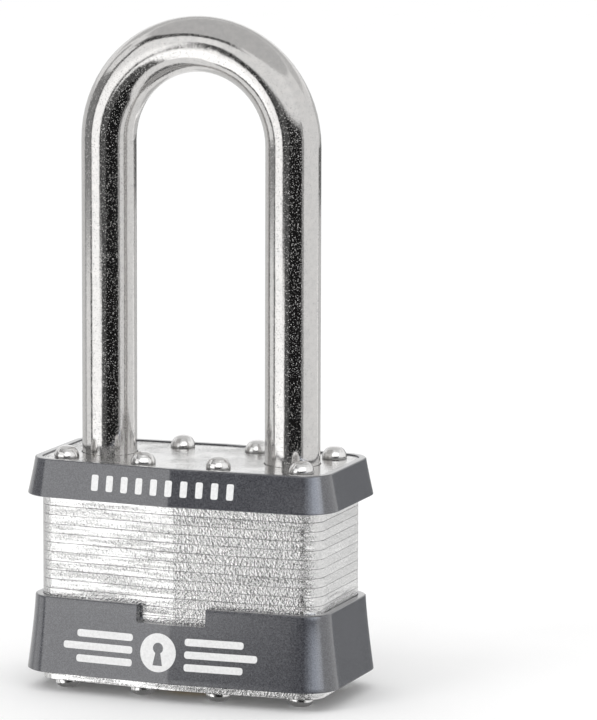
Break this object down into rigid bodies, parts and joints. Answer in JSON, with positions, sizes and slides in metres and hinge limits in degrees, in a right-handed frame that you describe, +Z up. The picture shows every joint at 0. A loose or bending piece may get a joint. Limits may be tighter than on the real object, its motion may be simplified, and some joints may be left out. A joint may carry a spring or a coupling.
{
  "type": "laminated padlock",
  "caption": "Laminated steel padlock with a long round shackle, moulded bumper bands round its case and a pin-tumbler cylinder opening downwards.",
  "frame": {"origin": "middle of the case on the surface that the lock stands on, level with the lower rivet heads", "axes": "+Z up to the shackle's bow, +X to the shackle's short leg, -Y the front"},
  "size_m": [0.057, 0.0308, 0.1159],
  "materials": {
    "plate_steel": "bright zinc plate, grainy",
    "rivet_steel": "bright zinc plate, smooth domes",
    "shackle_steel": "polished plate with a fine grain",
    "inner_steel": "plain",
    "spring_steel": "plain wire",
    "cylinder_brass": "machined",
    "bumper_plastic": "charcoal with metallic flake, satin"
  },
  "bodies": {
    "case": {"lamination_01": "plate_steel", "lamination_02": "plate_steel", "lamination_03": "plate_steel", "lamination_04": "plate_steel", "lamination_05": "plate_steel", "lamination_06": "plate_steel", "lamination_07": "plate_steel", "lamination_08": "plate_steel", "lamination_09": "plate_steel", "lamination_10": "plate_steel", "lamination_11": "plate_steel", "lamination_12": "plate_steel", "lamination_13": "plate_steel", "lamination_14": "plate_steel", "lamination_15": "plate_steel", "lamination_16": "plate_steel", "lamination_17": "plate_steel", "lamination_18": "plate_steel", "lamination_19": "plate_steel", "lamination_20": "plate_steel", "lamination_21": "plate_steel", "lamination_22": "plate_steel", "lamination_23": "plate_steel", "lamination_24": "plate_steel", "rivets": "rivet_steel", "cylinder_shell": "cylinder_brass", "pin_chamber_cover": "cylinder_brass", "heel_retainer": "inner_steel", "shackle_spring": "spring_steel", "pin_spring_1": "spring_steel", "pin_spring_2": "spring_steel", "pin_spring_3": "spring_steel", "pin_spring_4": "spring_steel", "right_lever_spring": "spring_steel", "left_lever_spring": "spring_steel", "top_bumper": "bumper_plastic", "bottom_bumper": "bumper_plastic"},
    "shackle": {"shackle": "shackle_steel"},
    "plug": {"plug": "cylinder_brass", "plug_retainer": "inner_steel", "cam": "cylinder_brass"},
    "right_lever": {"right_lever": "inner_steel"},
    "left_lever": {"left_lever": "inner_steel"},
    "key_pin_1": {"key_pin_1": "cylinder_brass"},
    "driver_pin_1": {"driver_pin_1": "cylinder_brass"},
    "key_pin_2": {"key_pin_2": "cylinder_brass"},
    "driver_pin_2": {"driver_pin_2": "cylinder_brass"},
    "key_pin_3": {"key_pin_3": "cylinder_brass"},
    "driver_pin_3": {"driver_pin_3": "cylinder_brass"},
    "key_pin_4": {"key_pin_4": "cylinder_brass"},
    "driver_pin_4": {"driver_pin_4": "cylinder_brass"}
  },
  "joints": [
    {"name": "shackle_lift", "type": "slide", "parent": "case", "child": "shackle", "axis": [0, 0, 1], "range_m": [0, 0.012], "deforming": ["shackle_spring"]},
    {"name": "plug_turn", "type": "hinge", "parent": "case", "child": "plug", "pos_m": [0, -0.003, 0.01], "axis": [0, 0, 1], "range_deg": [-90, 0]},
    {"name": "right_lever_turn", "type": "hinge", "parent": "case", "child": "right_lever", "pos_m": [0.0069, 0.0091, 0.0337], "axis": [0, 0, 1], "range_deg": [0, 11.5], "deforming": ["right_lever_spring"]},
    {"name": "left_lever_turn", "type": "hinge", "parent": "case", "child": "left_lever", "pos_m": [-0.0069, 0.0091, 0.0305], "axis": [0, 0, 1], "range_deg": [-11.5, 0], "deforming": ["left_lever_spring"]},
    {"name": "key_pin_1_slide", "type": "slide", "parent": "plug", "child": "key_pin_1", "axis": [-1, 0, 0], "range_m": [-0.0018, 0]},
    {"name": "driver_pin_1_slide", "type": "slide", "parent": "case", "child": "driver_pin_1", "axis": [0, 1, 0], "range_m": [0, 0.0013], "stiffness_N_per_m": 60, "springref_m": -0.002, "deforming": ["pin_spring_1"]},
    {"name": "key_pin_2_slide", "type": "slide", "parent": "plug", "child": "key_pin_2", "axis": [-1, 0, 0], "range_m": [-0.001, 0]},
    {"name": "driver_pin_2_slide", "type": "slide", "parent": "case", "child": "driver_pin_2", "axis": [0, 1, 0], "range_m": [0, 0.0013], "stiffness_N_per_m": 60, "springref_m": -0.002, "deforming": ["pin_spring_2"]},
    {"name": "key_pin_3_slide", "type": "slide", "parent": "plug", "child": "key_pin_3", "axis": [-1, 0, 0], "range_m": [-0.0024, 0]},
    {"name": "driver_pin_3_slide", "type": "slide", "parent": "case", "child": "driver_pin_3", "axis": [0, 1, 0], "range_m": [0, 0.0013], "stiffness_N_per_m": 60, "springref_m": -0.002, "deforming": ["pin_spring_3"]},
    {"name": "key_pin_4_slide", "type": "slide", "parent": "plug", "child": "key_pin_4", "axis": [-1, 0, 0], "range_m": [-0.0014, 0]},
    {"name": "driver_pin_4_slide", "type": "slide", "parent": "case", "child": "driver_pin_4", "axis": [0, 1, 0], "range_m": [0, 0.0013], "stiffness_N_per_m": 60, "springref_m": -0.002, "deforming": ["pin_spring_4"]}
  ],
  "couplings": [
    {"joint": "right_lever_turn", "follows": "plug_turn", "ratio": -0.12778},
    {"joint": "left_lever_turn", "follows": "plug_turn", "ratio": 0.12778}
  ]
}
